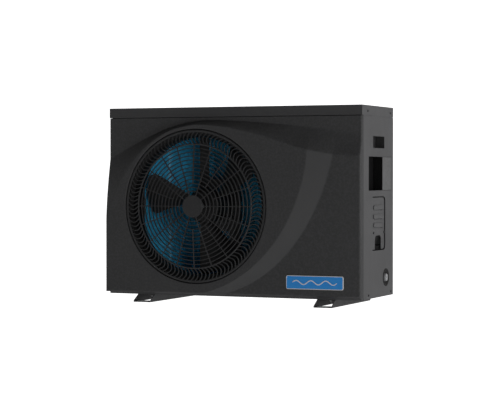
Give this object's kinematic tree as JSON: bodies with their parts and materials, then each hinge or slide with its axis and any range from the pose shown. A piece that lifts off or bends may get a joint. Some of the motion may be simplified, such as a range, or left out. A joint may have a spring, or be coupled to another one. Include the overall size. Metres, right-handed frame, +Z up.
{
  "type": "pool heat pump",
  "caption": "Horizontal-discharge heat pump cabinet with a domed fan grille, finned coil, compressor, water exchanger, rear pipe unions and foot rails.",
  "frame": {"origin": "middle of the four anchor slots, at ground level", "axes": "+Z up, -Y is the way the fan blows, +X to the right seen from the front"},
  "size_m": [0.925, 0.443, 0.66],
  "materials": {
    "charcoal_sheet": "charcoal powder coat, satin",
    "charcoal_moulding": "charcoal moulding, fine grain",
    "plate_grey": "grey moulding, satin",
    "black_plastic": "black moulding, satin",
    "grille_black": "black guard, satin",
    "fan_black": "black moulded fan, satin",
    "badge_blue": "blue nameplate with a white line, gloss",
    "zinc": "zinc plate",
    "ground_steel": "ground steel",
    "lamination": "stacked laminations",
    "motor_enamel": "black enamel",
    "compressor_enamel": "black enamel, gloss",
    "copper": "drawn copper",
    "brass": "machined brass",
    "blue_fins": "blue coated aluminium fins",
    "aluminium": "extruded aluminium",
    "rubber": "black rubber, matt",
    "pvc": "light PVC, satin",
    "terminal_nylon": "natural nylon",
    "board_green": "green circuit board",
    "capacitor_sleeve": "dark sleeve",
    "screw_black": "blackened screw"
  },
  "bodies": {
    "cabinet": {"base_pan": "charcoal_sheet", "foot_rail_left": "charcoal_sheet", "foot_rail_right": "charcoal_sheet", "slot_plates": "zinc", "rail_bolts": "zinc", "rail_nuts": "zinc", "condensate_nipple": "black_plastic", "front_panel": "charcoal_moulding", "badge": "badge_blue", "fan_grille": "grille_black", "fan_shroud": "black_plastic", "motor_stator": "copper", "motor_bearings": "ground_steel", "fan_motor": "motor_enamel", "motor_bracket": "motor_enamel", "motor_screws": "zinc", "evaporator_fins": "blue_fins", "coil_return_bends": "copper", "coil_end_plates": "zinc", "coil_headers": "copper", "partition": "charcoal_sheet", "compressor": "compressor_enamel", "compressor_grommets": "rubber", "compressor_bolts": "zinc", "accumulator": "compressor_enamel", "heat_exchanger": "pvc", "four_way_valve": "brass", "expansion_valve": "brass", "discharge_line": "copper", "suction_line": "copper", "gas_line": "copper", "liquid_line": "copper", "union_seals": "rubber", "union_tails": "pvc", "control_box": "zinc", "control_box_lid": "zinc", "circuit_board": "board_green", "capacitors": "capacitor_sleeve", "heat_sink": "aluminium", "terminal_bracket": "zinc", "terminal_block": "terminal_nylon", "cable_clamp": "black_plastic", "right_side_panel": "charcoal_sheet", "scoop_plate": "plate_grey", "wiring_cover": "charcoal_sheet", "wiring_cover_screws": "screw_black", "drain_bush": "rubber", "left_side_panel": "charcoal_sheet", "left_guard": "grille_black", "rear_panel": "charcoal_sheet", "rear_guard": "grille_black", "top_cover": "charcoal_sheet", "cabinet_screws": "screw_black"},
    "fan_set": {"fan": "fan_black", "fan_nut": "zinc", "motor_shaft": "ground_steel", "motor_rotor": "lamination"},
    "nut_low": {"union_nut_low": "black_plastic"},
    "nut_high": {"union_nut_high": "black_plastic"},
    "plug": {"drain_plug": "pvc"}
  },
  "joints": [
    {"name": "fan_spin", "type": "hinge", "parent": "cabinet", "child": "fan_set", "pos_m": [-0.132, -0.1, 0.327], "axis": [0, 1, 0], "continuous": true},
    {"name": "nut_low_turn", "type": "hinge", "parent": "cabinet", "child": "nut_low", "pos_m": [0.377, 0.1875, 0.12], "axis": [0, 1, 0], "continuous": true},
    {"name": "nut_high_turn", "type": "hinge", "parent": "cabinet", "child": "nut_high", "pos_m": [0.377, 0.1875, 0.31], "axis": [0, 1, 0], "continuous": true},
    {"name": "plug_turn", "type": "hinge", "parent": "cabinet", "child": "plug", "pos_m": [0.447, 0.0815, 0.088], "axis": [1, 0, 0], "continuous": true}
  ]
}
